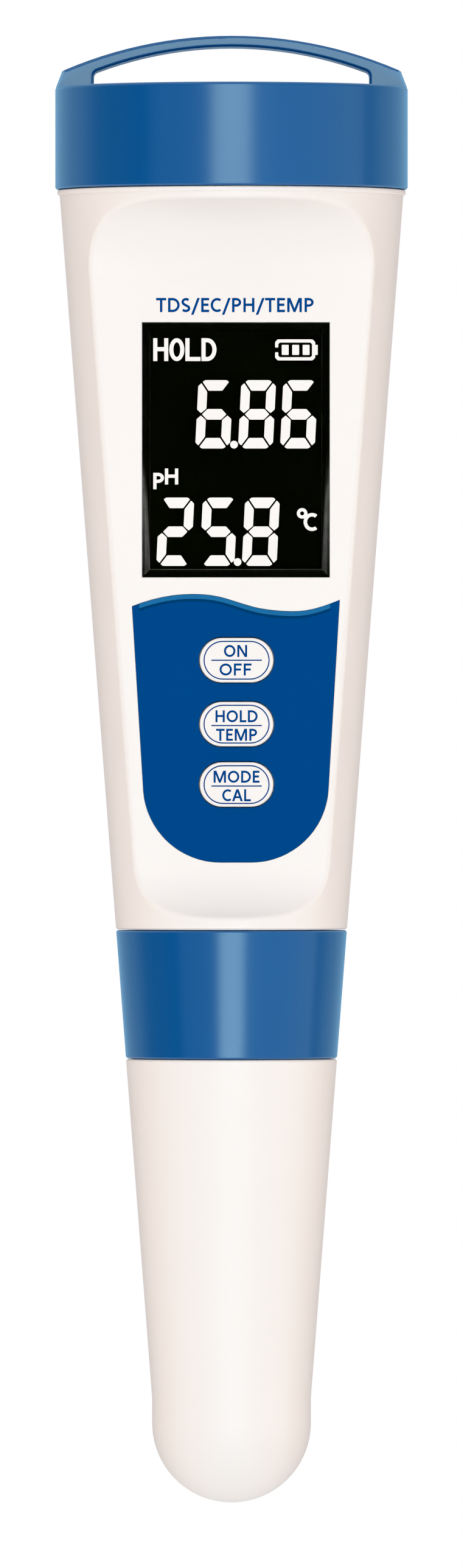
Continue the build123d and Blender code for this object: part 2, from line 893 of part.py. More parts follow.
with BuildPart() as sensor_body:
    add(
        turned(
            [
                (0, hollow_bottom),
                (hollow_radius, hollow_bottom),
                (hollow_radius, module_top - pin_board_thickness),
                (pin_board_radius, module_top - pin_board_thickness),
                (pin_board_radius, module_top),
                (plug_radius - 0.3, module_top),
                (plug_radius, module_top - 0.3),
                (plug_radius, module_ring_z + module_ring_half),
                (module_ring_major - module_ring_minor, module_ring_z + module_ring_half),
                (module_ring_major - module_ring_minor, module_ring_z - module_ring_half),
                (plug_radius, module_ring_z - module_ring_half),
                (plug_radius, flange_z),
                (module_flange_radius, flange_z),
                (module_flange_radius, flange_z - module_flange_thickness),
                (seat_radius, flange_z - module_flange_thickness),
                (seat_radius, seat_ring_z + seat_ring_half),
                (seat_ring_major - seat_ring_minor, seat_ring_z + seat_ring_half),
                (seat_ring_major - seat_ring_minor, seat_ring_z - seat_ring_half),
                (seat_radius, seat_ring_z - seat_ring_half),
                (seat_radius, seat_bottom + 0.5),
                (seat_radius - 0.5, seat_bottom),
                (barrel_radius + 0.8, seat_bottom),
                (barrel_radius, seat_bottom - 0.8),
                (barrel_radius, barrel_bottom),
                (nose_radius, barrel_bottom),
                (nose_radius, nose_bottom),
                (0, nose_bottom),
            ]
        )
    )
    # Rib that keeps the module from turning in the spigot
    with BuildSketch(Plane.XY.offset(flange_z)):
        with Locations((0, (plug_radius + key_rib_radius) / 2 - 0.5)):
            Rectangle(key_rib_width, key_rib_radius - plug_radius + 1)
    extrude(amount=spigot_bottom + keyway_height - 0.3 - flange_z)
    # Bores for the electrodes
    with BuildSketch(Plane.XY.offset(nose_bottom)):
        for place, radius, top in electrode_holes:
            with Locations(place):
                Circle(radius)
    extrude(amount=hollow_bottom - nose_bottom, mode=Mode.SUBTRACT)
    with BuildSketch(Plane.XY.offset(nose_bottom)):
        with Locations(junction_place):
            Circle(junction_radius)
    extrude(amount=4, mode=Mode.SUBTRACT)
save(sensor_body, "sensor_body")

module_o_ring = ring(module_ring_major, module_ring_minor, module_ring_z)
save(module_o_ring, "module_o_ring")
seat_o_ring = ring(seat_ring_major, seat_ring_minor, seat_ring_z)
save(seat_o_ring, "seat_o_ring")

with BuildPart() as module_contact_board:
    with BuildSketch(Plane.XY.offset(module_top)):
        Circle(pin_board_radius)
        with PolarLocations(contact_circle, contact_count):
            Circle(contact_radius, mode=Mode.SUBTRACT)
    extrude(amount=-pin_board_thickness)
save(module_contact_board, "module_contact_board")

with BuildPart() as module_contact_pins:
    with BuildSketch(Plane.XY.offset(module_top - pin_board_thickness)):
        with PolarLocations(contact_circle, contact_count):
            Circle(contact_radius)
    extrude(amount=contact_top - module_top + pin_board_thickness)
    chamfer(module_contact_pins.faces().sort_by(Axis.Z)[-contact_count:].edges(), 0.15)
save(module_contact_pins, "module_contact_pins")

# The glass tube is open at its top and blown into a bulb at its end
glass_wall = 0.5
with BuildPart() as ph_glass_tube:
    with BuildSketch(Plane.XZ.offset(-ph_place[1])) as half_tube:
        with Locations((0, (hollow_bottom + ph_bulb_z) / 2)):
            Rectangle(2 * ph_tube_radius, hollow_bottom - ph_bulb_z)
        with Locations((0, ph_bulb_z)):
            Circle(ph_bulb_radius)
        with Locations((0, (hollow_bottom + ph_bulb_z) / 2)):
            Rectangle(
                2 * (ph_tube_radius - glass_wall), hollow_bottom - ph_bulb_z, mode=Mode.SUBTRACT
            )
        with Locations((0, ph_bulb_z)):
            Circle(ph_bulb_radius - glass_wall, mode=Mode.SUBTRACT)
        with Locations((-ph_bulb_radius, (hollow_bottom + ph_bulb_z) / 2)):
            Rectangle(2 * ph_bulb_radius, 2 * (hollow_bottom - ph_bulb_z), mode=Mode.SUBTRACT)
    revolve(axis=Axis((0, ph_place[1], 0), (0, 0, 1)))
save(ph_glass_tube, "ph_glass_tube")

with BuildPart() as ph_tube_seal:
    with BuildSketch(Plane.XY.offset(nose_bottom)):
        with Locations(ph_place):
            Circle(ph_tube_radius + 0.7)
            Circle(ph_tube_radius, mode=Mode.SUBTRACT)
    extrude(amount=-0.6)
save(ph_tube_seal, "ph_tube_seal")

with BuildPart() as silver_wire:
    with BuildSketch(Plane.XY.offset(module_top - pin_board_thickness)):
        with Locations(ph_place):
            Circle(0.4)
    extrude(amount=ph_bulb_z - module_top + pin_board_thickness)
save(silver_wire, "silver_wire")


def electrode(name, place, radius, bottom, nose_fillet):
    """Metal rod through the module's nose, rounded at its tip."""
    with BuildPart() as rod:
        with BuildSketch(Plane.XY.offset(bottom)):
            with Locations(place):
                Circle(radius)
        extrude(amount=module_top - pin_board_thickness - bottom)
        fillet(rod.faces().sort_by(Axis.Z)[0].edges(), nose_fillet)
    save(rod, name)


for side, place in pin_places.items():
    electrode(f"conductivity_pin_{side}", place, pin_radius, pin_bottom, 0.3)
electrode("temperature_probe", probe_place, probe_radius, probe_bottom, 1.1)

with BuildPart() as reference_junction:
    with BuildSketch(Plane.XY.offset(nose_bottom - 0.3)):
        with Locations(junction_place):
            Circle(junction_radius)
    extrude(amount=4.3)
save(reference_junction, "reference_junction")

# The guard is a sleeve with four tall windows
window_half = 2.9
window_top = -148.6
window_bottom = -156.8
with BuildPart() as sensor_guard:
    with BuildSketch(Plane.XY.offset(guard_bottom)):
        Circle(barrel_radius)
        Circle(barrel_radius - guard_wall, mode=Mode.SUBTRACT)
    extrude(amount=barrel_bottom - 0.02 - guard_bottom)
    for plane in (Plane.XZ, Plane.YZ):
        with BuildSketch(plane):
            with Locations((0, (window_top + window_bottom) / 2)):
                SlotOverall(window_top - window_bottom, 2 * window_half, rotation=90)
        extrude(amount=2 * barrel_radius, both=True, mode=Mode.SUBTRACT)
    fillet(sensor_guard.faces().sort_by(Axis.Z)[0].outer_wire().edges(), 0.3)
save(sensor_guard, "sensor_guard")

# ---- Collar and its clip ---------------------------------------------------------------------------

collar_bore = 11.6
collar_hole = 10.75
flange_seat = flange_z - module_flange_thickness - 0.2
clip_top = -113.2
clip_thickness = 0.8
clip_outer = 12.0
collar_thread = thread_ridge(
    collar_bore,
    collar_bore - thread_height,
    collar_thread_bottom,
    collar_pitch,
    1.9,
    1.0,
    0.5,
    mating_phase(collar_thread_bottom, spigot_thread_bottom, collar_pitch),
)

with BuildPart() as collar:
    add(
        turned(
            [
                (taper_radius(collar_top), collar_top),
                (taper_radius(collar_bottom), collar_bottom),
                (collar_hole, collar_bottom),
                (collar_hole, flange_seat),
                (collar_bore, flange_seat),
                (collar_bore, clip_top - clip_thickness - 0.05),
                (clip_outer + 0.1, clip_top - clip_thickness - 0.05),
                (clip_outer + 0.1, clip_top + 0.05),
                (collar_bore, clip_top + 0.05),
                (collar_bore, collar_top),
            ]
        )
    )
    outer_rims = collar.edges().filter_by(GeomType.CIRCLE).filter_by(lambda e: e.radius > 12.3)
    chamfer(outer_rims, edge_chamfer)
    add(collar_thread)
save(collar, "collar")

with BuildPart() as collar_clip:
    with BuildSketch(Plane.XY.offset(clip_top - clip_thickness)):
        Circle(clip_outer)
        Circle(clip_outer - 1.0, mode=Mode.SUBTRACT)
        with Locations((clip_outer, 0)):
            Rectangle(4, 3.2, mode=Mode.SUBTRACT)
    extrude(amount=clip_thickness)
save(collar_clip, "collar_clip")

# ---- Protective cap and its sponge -----------------------------------------------------------------

inner_dome = dome_radius - protector_wall
with BuildPart() as protective_cap:
    with BuildSketch(Plane.XZ):
        with BuildLine():
            outer_arc = CenterArc((0, dome_z), dome_radius, -90, 90)
            inner_arc = CenterArc((0, dome_z), inner_dome, -90, 90)
            Polyline(
                outer_arc @ 1,
                (dome_radius, straight_top),
                (taper_radius(protector_top), protector_top),
                (mouth_bore + 0.3, protector_top),
                (mouth_bore, protector_top - 0.3),
                (mouth_bore, mouth_bottom),
                (mouth_bore - 0.6, mouth_bottom - 0.6),
                (inner_dome, straight_top),
                inner_arc @ 1,
            )
            Line(outer_arc @ 0, inner_arc @ 0)
        make_face()
    revolve(axis=Axis.Z)
    rims = protective_cap.edges().filter_by(GeomType.CIRCLE).group_by(SortBy.RADIUS)[-1]
    chamfer(rims, edge_chamfer)
save(protective_cap, "protective_cap")

sponge_top = -163.4
sponge_bottom = -170.4
with BuildPart() as storage_sponge:
    with Locations((0, 0, dome_z)):
        Sphere(inner_dome - 0.15)
    with Locations((0, 0, (sponge_top + sponge_bottom) / 2)):
        Box(30, 30, sponge_top - sponge_bottom, mode=Mode.INTERSECT)
save(storage_sponge, "storage_sponge")
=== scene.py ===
"""Looks of the pocket water tester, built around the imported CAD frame.

Lengths are written in millimetres times MM, so that every Blender value is in metres.
"""

import json
import math

import bmesh
import bpy
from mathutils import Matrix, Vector
from mathutils.geometry import tessellate_polygon


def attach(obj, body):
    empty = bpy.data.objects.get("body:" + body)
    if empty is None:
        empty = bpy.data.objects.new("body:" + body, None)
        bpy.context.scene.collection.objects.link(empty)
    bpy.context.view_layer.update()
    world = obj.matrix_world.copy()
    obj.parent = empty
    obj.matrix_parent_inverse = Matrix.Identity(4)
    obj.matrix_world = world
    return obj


MM = 0.001

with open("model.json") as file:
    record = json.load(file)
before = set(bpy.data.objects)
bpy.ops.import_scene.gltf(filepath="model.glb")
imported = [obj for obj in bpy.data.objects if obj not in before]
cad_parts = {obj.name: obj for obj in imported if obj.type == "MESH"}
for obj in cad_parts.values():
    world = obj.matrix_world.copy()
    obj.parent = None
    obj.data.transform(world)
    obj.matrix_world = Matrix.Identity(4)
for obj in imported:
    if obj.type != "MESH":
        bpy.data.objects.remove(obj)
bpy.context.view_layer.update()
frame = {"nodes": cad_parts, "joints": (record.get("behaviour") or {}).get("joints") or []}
nodes = frame["nodes"]
scene = bpy.context.scene

# ---- The face's own coordinates ---------------------------------------------------------------------
# u runs along the pen's X, v up the leaning face, and w out of it. The keys travel straight into it.

press_joint = next(j for j in frame["joints"] if j["name"] == "on_off_press")
outward = -Vector(press_joint["axis"]).normalized()
across = Vector((1, 0, 0))
up_face = outward.cross(across).normalized()


def on_face(u, v, w):
    """World point of face coordinates."""
    return across * u + up_face * v + outward * w


def face_place(vertex):
    """Face coordinates (u, v, w) of a mesh vertex."""
    return across.dot(vertex.co), up_face.dot(vertex.co), outward.dot(vertex.co)


def face_span(node):
    """Lowest and highest (u, v, w) of a CAD node."""
    points = [face_place(vertex) for vertex in nodes[node].data.vertices]
    return tuple(map(min, zip(*points))), tuple(map(max, zip(*points)))


def face_middle(node):
    """Middle (u, v) of a CAD node on the face."""
    low, high = face_span(node)
    return (low[0] + high[0]) / 2, (low[1] + high[1]) / 2


# ---- Colours ----------------------------------------------------------------------------------------


def linear(red, green, blue):
    """Linear colour of an 8-bit display colour."""
    def channel(value):
        value /= 255
        return value / 12.92 if value <= 0.04045 else ((value + 0.055) / 1.055) ** 2.4

    return (channel(red), channel(green), channel(blue), 1.0)


# ---- Materials --------------------------------------------------------------------------------------


def new_material(name):
    """Material with a Principled shader, its node tree and the shader."""
    material = bpy.data.materials.new(name)
    material.use_nodes = True
    tree = material.node_tree
    return material, tree, tree.nodes["Principled BSDF"]


def object_noise(tree, scale, detail=3.0):
    """Noise in the object's own coordinates; the scale is in features per metre."""
    place = tree.nodes.new("ShaderNodeTexCoord")
    noise = tree.nodes.new("ShaderNodeTexNoise")
    noise.inputs["Scale"].default_value = scale
    noise.inputs["Detail"].default_value = detail
    tree.links.new(place.outputs["Object"], noise.inputs["Vector"])
    return noise.outputs["Fac"]


def ranged(tree, value, low, high):
    """Maps a 0 to 1 value onto a range."""
    spread = tree.nodes.new("ShaderNodeMapRange")
    spread.inputs["To Min"].default_value = low
    spread.inputs["To Max"].default_value = high
    tree.links.new(value, spread.inputs["Value"])
    return spread.outputs["Result"]


def tint(tree, value, dark, light):
    """Colour that runs from dark to light with a 0 to 1 value."""
    ramp = tree.nodes.new("ShaderNodeValToRGB")
    ramp.color_ramp.elements[0].position = 0.3
    ramp.color_ramp.elements[0].color = dark
    ramp.color_ramp.elements[1].position = 0.7
    ramp.color_ramp.elements[1].color = light
    tree.links.new(value, ramp.inputs["Fac"])
    return ramp.outputs["Color"]


def bump(tree, shader, height, distance):
    """Bump of a real depth in metres."""
    node = tree.nodes.new("ShaderNodeBump")
    node.inputs["Distance"].default_value = distance
    node.inputs["Strength"].default_value = 1.0
    tree.links.new(height, node.inputs["Height"])
    tree.links.new(node.outputs["Normal"], shader.inputs["Normal"])


def scaled(colour, factor):
    """Colour with its three channels multiplied."""
    return (colour[0] * factor, colour[1] * factor, colour[2] * factor, 1.0)


DRIFT_SCALE = 55
POLISH_SPREAD = 0.04


def moulded(name, colour, roughness, specular=0.5, grain=2600, depth=0.004, variation=0.03, metal=0.0):
    """Moulded or machined surface: slight tone drift, spark-eroded grain and uneven polish.

    The grain is in features per metre and its depth in millimetres.
    """
    material, tree, shader = new_material(name)
    drift = object_noise(tree, DRIFT_SCALE)
    fine = object_noise(tree, grain, detail=2.0)
    shade = tint(tree, drift, scaled(colour, 1 - variation), scaled(colour, 1 + variation))
    tree.links.new(shade, shader.inputs["Base Color"])
    polish = ranged(tree, fine, roughness - POLISH_SPREAD, roughness + POLISH_SPREAD)
    tree.links.new(polish, shader.inputs["Roughness"])
    shader.inputs["Specular IOR Level"].default_value = specular
    shader.inputs["Metallic"].default_value = metal
    bump(tree, shader, fine, depth * MM)
    return material


WHITE = (0.87, 0.845, 0.835, 1.0)
BLUE = (0.0, 0.083, 0.292, 1.0)
PRINT_BLUE = linear(0, 70, 137)

white_plastic = moulded("white_plastic", WHITE, 0.42, 0.25, grain=3200, depth=0.0015, variation=0.006)
blue_plastic = moulded("blue_plastic", BLUE, 0.23, 0.64, grain=3000, depth=0.001, variation=0.02)
blue_shader = blue_plastic.node_tree.nodes["Principled BSDF"]
blue_shader.inputs["Specular Tint"].default_value = (0.63, 0.98, 1.0, 1.0)
blue_shader.inputs["Sheen Weight"].default_value = 0.38
blue_shader.inputs["Sheen Roughness"].default_value = 0.4
blue_shader.inputs["Sheen Tint"].default_value = (0.05, 0.55, 1.0, 1.0)
key_plastic = moulded("key_plastic", WHITE, 0.45, 0.2, grain=3000, depth=0.001, variation=0.004)
overlay_film = moulded("overlay_film", PRINT_BLUE, 0.7, 0.0, grain=5200, depth=0.001, variation=0.01)
print_ink = moulded("print_ink", linear(0, 66, 136), 0.7, 0.0, grain=6000, depth=0.0005)
wave_light_ink = moulded("wave_light_ink", linear(30, 108, 164), 0.7, 0.0, grain=6000, depth=0.0005)
# Painted shadow: the dark line under the wave stripe is shade drawn as a dark blue ink band, not print.
wave_painted_shadow_ink = moulded("wave_painted_shadow_ink", linear(0, 60, 110), 0.7, 0.0, grain=6000, depth=0.0005)
black_plastic = moulded("black_plastic", (0.02, 0.02, 0.021, 1.0), 0.5, variation=0.1)
black_foam = moulded("black_foam", (0.002, 0.003, 0.001, 1.0), 0.9, 0.0, grain=4000, depth=0.02)
seal_rubber = moulded("seal_rubber", (0.012, 0.012, 0.013, 1.0), 0.55, 0.3, variation=0.1)
silicone = moulded("silicone", (0.0, 0.05, 0.19, 1.0), 0.5, 0.2)
lcd_black = moulded(
    "lcd_black", (0.001, 0.002, 0.0, 1.0), 0.4, 0.0, grain=900, depth=0.0001, variation=0.3
)
light_guide = moulded("light_guide", (0.85, 0.86, 0.82, 1.0), 0.35)
zebra_rubber = moulded("zebra_rubber", (0.45, 0.12, 0.2, 1.0), 0.6)
circuit_board = moulded("circuit_board", (0.005, 0.11, 0.03, 1.0), 0.3, grain=1500, variation=0.15)
chip_black = moulded("chip_black", (0.015, 0.015, 0.016, 1.0), 0.6, variation=0.1)
steel = moulded("steel", (0.62, 0.62, 0.63, 1.0), 0.25, metal=1.0, depth=0.001)
nickel = moulded("nickel", (0.66, 0.63, 0.58, 1.0), 0.3, metal=1.0, depth=0.001)
gold = moulded("gold_contacts", (0.85, 0.58, 0.22, 1.0), 0.25, metal=1.0, depth=0.0005)
silver = moulded("silver", (0.8, 0.79, 0.76, 1.0), 0.3, metal=1.0, depth=0.001)
ceramic = moulded("ceramic", (0.75, 0.71, 0.63, 1.0), 0.8, grain=2200, depth=0.03, variation=0.06)
module_plastic = moulded("module_plastic", (0.72, 0.72, 0.70, 1.0), 0.45, grain=2200, depth=0.003)
guard_plastic = moulded("guard_plastic", (0.03, 0.035, 0.04, 1.0), 0.35, grain=2200, depth=0.002)


def clear(name, colour, ior, roughness):
    """Clear solid with a faint unevenness in its polish."""
    material, tree, shader = new_material(name)
    shader.inputs["Base Color"].default_value = colour
    shader.inputs["Transmission Weight"].default_value = 1.0
    shader.inputs["IOR"].default_value = ior
    fine = object_noise(tree, 400)
    tree.links.new(ranged(tree, fine, roughness * 0.5, roughness * 1.5), shader.inputs["Roughness"])
    return material


# A low index keeps the window dark from most sides; plain acrylic's is 1.49.
lens_acrylic = clear("lens_acrylic", (0.97, 0.98, 0.97, 1.0), 1.2, 0.02)
electrode_glass = clear("electrode_glass", (0.96, 0.99, 0.98, 1.0), 1.5, 0.02)


def lit_segment():
    """Lit display segment, a touch uneven as its light guide is."""
    material, tree, shader = new_material("lit_segment")
    shader.inputs["Base Color"].default_value = (0.0, 0.0, 0.0, 1.0)
    shader.inputs["Roughness"].default_value = 0.6
    drift = object_noise(tree, 120)
    glow = tint(tree, drift, linear(246, 241, 239), linear(250, 246, 244))
    tree.links.new(glow, shader.inputs["Emission Color"])
    shader.inputs["Emission Strength"].default_value = 1.04
    return material


lit = lit_segment()


def sponge_foam():
    """Open-cell foam."""
    material, tree, shader = new_material("sponge_foam")
    place = tree.nodes.new("ShaderNodeTexCoord")
    cells = tree.nodes.new("ShaderNodeTexVoronoi")
    cells.inputs["Scale"].default_value = 1400
    tree.links.new(place.outputs["Object"], cells.inputs["Vector"])
    pores = cells.outputs["Distance"]
    tree.links.new(
        tint(tree, pores, (0.45, 0.27, 0.03, 1.0), (0.88, 0.62, 0.15, 1.0)), shader.inputs["Base Color"]
    )
    shader.inputs["Roughness"].default_value = 0.95
    bump(tree, shader, pores, 0.3 * MM)
    return material


sponge = sponge_foam()

# Each material with the CAD nodes that it is for.
NODE_MATERIALS = [
    (white_plastic, ["housing", "battery_neck", "protective_cap"]),
    (blue_plastic, ["battery_cap", "collar"]),
    (key_plastic, ["key_on_off", "key_hold_temp", "key_mode_cal"]),
    (overlay_film, ["keypad_overlay"]),
    (lens_acrylic, ["display_lens"]),
    (black_foam, ["lens_gasket"]),
    (lcd_black, ["lcd_glass"]),
    (light_guide, ["lcd_backlight"]),
    (zebra_rubber, ["zebra_upper", "zebra_lower"]),
    (circuit_board, ["main_board", "module_contact_board"]),
    (chip_black, ["microcontroller", "board_components"]),
    (silicone, ["key_seal"]),
    (
        steel,
        ["board_screws", "conductivity_pin_left", "conductivity_pin_right"]
        + ["temperature_probe", "collar_clip"],
    ),
    (
        nickel,
        ["cell_1", "cell_2", "cell_3", "cell_4", "contact_minus", "contact_plus", "contact_link"]
        + ["bridge_contact_left", "bridge_contact_right"],
    ),
    (gold, ["socket_leads", "module_contact_pins"]),
    (seal_rubber, ["neck_o_ring", "module_o_ring", "seat_o_ring", "ph_tube_seal"]),
    (module_plastic, ["sensor_body"]),
    (guard_plastic, ["sensor_guard"]),
    (electrode_glass, ["ph_glass_tube"]),
    (silver, ["silver_wire"]),
    (ceramic, ["reference_junction"]),
    (sponge, ["storage_sponge"]),
    (
        black_plastic,
        ["battery_tray", "lcd_frame", "carrier", "sensor_socket", "pressure_plate"]
        + ["switch_on_off", "switch_hold_temp", "switch_mode_cal"]
        + ["plunger_on_off", "plunger_hold_temp", "plunger_mode_cal"],
    ),
]
for material, names in NODE_MATERIALS:
    for name in names:
        nodes[name].data.materials.clear()
        nodes[name].data.materials.append(material)

# ---- Mesh helpers -----------------------------------------------------------------------------------

# Thickness of a printed or lit mark.
INK = 0.015 * MM


def piece_from(mesh_maker, name, material, body):
    """New mesh object from a bmesh, given its material and the body that it rides on."""
    mesh = bpy.data.meshes.new(name)
    bmesh.ops.recalc_face_normals(mesh_maker, faces=mesh_maker.faces)
    mesh_maker.to_mesh(mesh)
    mesh_maker.free()
    mesh.materials.append(material)
    piece = bpy.data.objects.new(name, mesh)
    scene.collection.objects.link(piece)
    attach(piece, body)


def add_prism(maker, points, low, high):
    """Closed prism over a (u, v) outline between two heights above the face."""
    bottom = [maker.verts.new(on_face(u, v, low)) for u, v in points]
    top = [maker.verts.new(on_face(u, v, high)) for u, v in points]
    maker.faces.new(bottom)
    maker.faces.new(top)
    for i in range(len(points)):
        j = (i + 1) % len(points)
        maker.faces.new((bottom[i], bottom[j], top[j], top[i]))


def add_ring(maker, outer, inner, low, high):
    """Closed flat ring between two outlines with the same number of points."""
    loops = [
        [maker.verts.new(on_face(u, v, w)) for u, v in outline]
        for outline, w in ((outer, high), (inner, high), (inner, low), (outer, low))
    ]
    for i in range(len(outer)):
        j = (i + 1) % len(outer)
        for a, b in zip(loops, loops[1:] + loops[:1]):
            maker.faces.new((a[i], a[j], b[j], b[i]))


def rounded(points, radius, steps=5):
    """Outline with its corners rounded."""
    result = []
    count = len(points)
    for i in range(count):
        before, here, after = (Vector(points[(i + k) % count]) for k in (-1, 0, 1))
        reach = min(radius, (before - here).length * 0.45, (after - here).length * 0.45)
        start = here + (before - here).normalized() * reach
        end = here + (after - here).normalized() * reach
        for step in range(steps + 1):
            t = step / steps
            result.append(tuple(start * (1 - t) ** 2 + here * 2 * t * (1 - t) + end * t**2))
    return result


def rectangle(left, right, bottom, top):
    """Outline with four square corners."""
    return [(left, bottom), (right, bottom), (right, top), (left, top)]


def stadium(centre, width, height, steps=24):
    """Outline with two straight sides and two round ends."""
    radius = height / 2
    reach = width / 2 - radius
    points = []
    for side, start in ((1, -90), (-1, 90)):
        for step in range(steps + 1):
            angle = math.radians(start + 180 * step / steps)
            u = centre[0] + side * reach + radius * math.cos(angle)
            points.append((u, centre[1] + radius * math.sin(angle)))
    return points


def add_filled(maker, contours, low, high):
    """Closed slab over (u, v) contours; the contours after the first are its holes."""
    flat = [point for contour in contours for point in contour]
    triangles = tessellate_polygon([[Vector((u, v, 0)) for u, v in contour] for contour in contours])
    rows = [[maker.verts.new(on_face(u, v, w)) for u, v in flat] for w in (low, high)]
    for row in rows:
        for triangle in triangles:
            maker.faces.new([row[i] for i in triangle])
    start = 0
    for contour in contours:
        for k in range(len(contour)):
            i, j = start + k, start + (k + 1) % len(contour)
            maker.faces.new((rows[0][i], rows[0][j], rows[1][j], rows[1][i]))
        start += len(contour)


# ---- Letterforms ------------------------------------------------------------------------------------
# Plain upright sans capitals. Each form fills a box w wide and h high with strokes t thick.

ARC_STEPS = 20


def oval(w, h, inset=0.0, start=0, turn=360):
    """Points of an oval arc in a w by h box, kept an inset away from its sides."""
    closed = turn == 360
    steps = ARC_STEPS * 2 if closed else ARC_STEPS
    points = []
    for step in range(steps if closed else steps + 1):
        angle = math.radians(start + turn * step / steps)
        u = w / 2 + (w / 2 - inset) * math.cos(angle)
        v = h / 2 + (h / 2 - inset) * math.sin(angle)
        points.append((u, v))
    return points


def bowl(w, top, bottom, straight, inset):
    """Points of a bowl's right half from bottom to top: a straight part, then half an oval."""
    radius, rise = w - straight - inset, (top - bottom) / 2 - inset
    middle = (top + bottom) / 2
    points = []
    for step in range(ARC_STEPS + 1):
        angle = math.radians(-90 + 180 * step / ARC_STEPS)
        points.append((straight + radius * math.cos(angle), middle + rise * math.sin(angle)))
    return points


def ribbon(points, t):
    """Outline of a stroke t thick along a smooth centre line."""
    left, right = [], []
    for i, (u, v) in enumerate(points):
        ahead = points[min(i + 1, len(points) - 1)]
        behind = points[max(i - 1, 0)]
        run = Vector((ahead[0] - behind[0], ahead[1] - behind[1])).normalized() * (t / 2)
        left.append((u - run.y, v + run.x))
        right.append((u + run.y, v - run.x))
    return left + right[::-1]


def smooth_step(p, q, r, m, t):
    """Catmull-Rom value between q and r, with p before them and m after."""
    square, cube = 2 * p - 5 * q + 4 * r - m, 3 * q - p - 3 * r + m
    return 0.5 * (2 * q + (r - p) * t + square * t**2 + cube * t**3)


def smooth_line(corners, steps=6):
    """Catmull-Rom line through its corners."""
    ends = [corners[0]] + corners + [corners[-1]]
    points = []
    for span in zip(ends, ends[1:], ends[2:], ends[3:]):
        for step in range(steps):
            points.append(tuple(smooth_step(*values, step / steps) for values in zip(*span)))
    return points + [corners[-1]]


S_LINE = [(0.93, 0.92), (0.58, 1.0), (0.2, 0.94), (0.02, 0.76), (0.16, 0.6), (0.52, 0.47)]
S_LINE += [(0.88, 0.36), (1.0, 0.21), (0.84, 0.05), (0.42, 0.0), (0.02, 0.08)]


def letter_t(w, h, t):
    a, b = (w - t) / 2, (w + t) / 2
    return [[(a, 0), (b, 0), (b, h - t), (w, h - t), (w, h), (0, h), (0, h - t), (a, h - t)]]


def letter_e(w, h, t):
    a, b = (h - t) / 2 + 0.02 * h, (h + t) / 2 + 0.02 * h
    short = 0.92 * w
    foot = [(0, 0), (w, 0), (w, t), (t, t), (t, a), (short, a), (short, b), (t, b)]
    return [foot + [(t, h - t), (w, h - t), (w, h), (0, h)]]


def letter_f(w, h, t):
    a, b = (h - t) / 2, (h + t) / 2
    short = 0.9 * w
    stem = [(0, 0), (t, 0), (t, a), (short, a), (short, b), (t, b)]
    return [stem + [(t, h - t), (w, h - t), (w, h), (0, h)]]


def letter_l(w, h, t):
    return [[(0, 0), (w, 0), (w, t), (t, t), (t, h), (0, h)]]


def letter_h(w, h, t):
    a, b = (h - t) / 2 + 0.02 * h, (h + t) / 2 + 0.02 * h
    left = [(0, 0), (t, 0), (t, a), (w - t, a), (w - t, 0), (w, 0)]
    return [left + [(w, h), (w - t, h), (w - t, b), (t, b), (t, h), (0, h)]]


def letter_n(w, h, t):
    s, d = 1.2 * t, 1.55 * t
    left = [(0, 0), (t, 0), (t, h - d), (w - s, 0), (w, 0)]
    return [left + [(w, h), (w - t, h), (w - t, d), (s, h), (0, h)]]


def letter_m(w, h, t):
    s, d, f = 1.35 * t, 1.75 * t, 0.42 * t
    left = [(0, 0), (t, 0), (t, h - d), (w / 2 - f, 0)]
    right = [(w / 2 + f, 0), (w - t, h - d), (w - t, 0), (w, 0)]
    return [left + right + [(w, h), (w - s, h), (w / 2, 1.6 * t), (s, h), (0, h)]]


def letter_a(w, h, t):
    peak, foot, low = 0.58 * t, 1.08 * t, 0.26 * h
    lean = (w / 2 - peak) / h
    inner_low, inner_high = foot + low * lean, foot + (low + 0.9 * t) * lean
    outer = [(0, 0), (foot, 0), (inner_low, low), (w - inner_low, low), (w - foot, 0), (w, 0)]
    apex = (w / 2 - foot) / lean
    hole = [(inner_high, low + 0.9 * t), (w / 2, apex), (w - inner_high, low + 0.9 * t)]
    return [outer + [(w / 2 + peak, h), (w / 2 - peak, h)], hole]


def letter_o(w, h, t):
    return [oval(w, h), oval(w, h, t)]


def letter_c(w, h, t):
    wide = w * 1.2
    return [oval(wide, h, 0, 52, 256) + oval(wide, h, t, 308, -256)]


def letter_d(w, h, t):
    straight = 0.38 * w
    outer = [(0, 0)] + bowl(w, h, 0, straight, 0) + [(0, h)]
    return [outer, [(t, t)] + bowl(w, h, 0, straight, t) + [(t, h - t)]]


def letter_p(w, h, t):
    low, straight = 0.38 * h, 0.45 * w
    outer = [(0, 0), (t, 0), (t, low)] + bowl(w, h, low, straight, 0) + [(0, h)]
    return [outer, [(t, low + t)] + bowl(w, h, low, straight, t) + [(t, h - t)]]


def letter_s(w, h, t):
    line = [(t / 2 + u * (w - t), t / 2 + v * (h - t)) for u, v in S_LINE]
    return [ribbon(smooth_line(line), t)]


def slash(w, h, t):
    drop, foot = 0.19 * h, 1.05 * t
    return [[(0, -drop), (foot, -drop), (w, h), (w - foot, h)]]


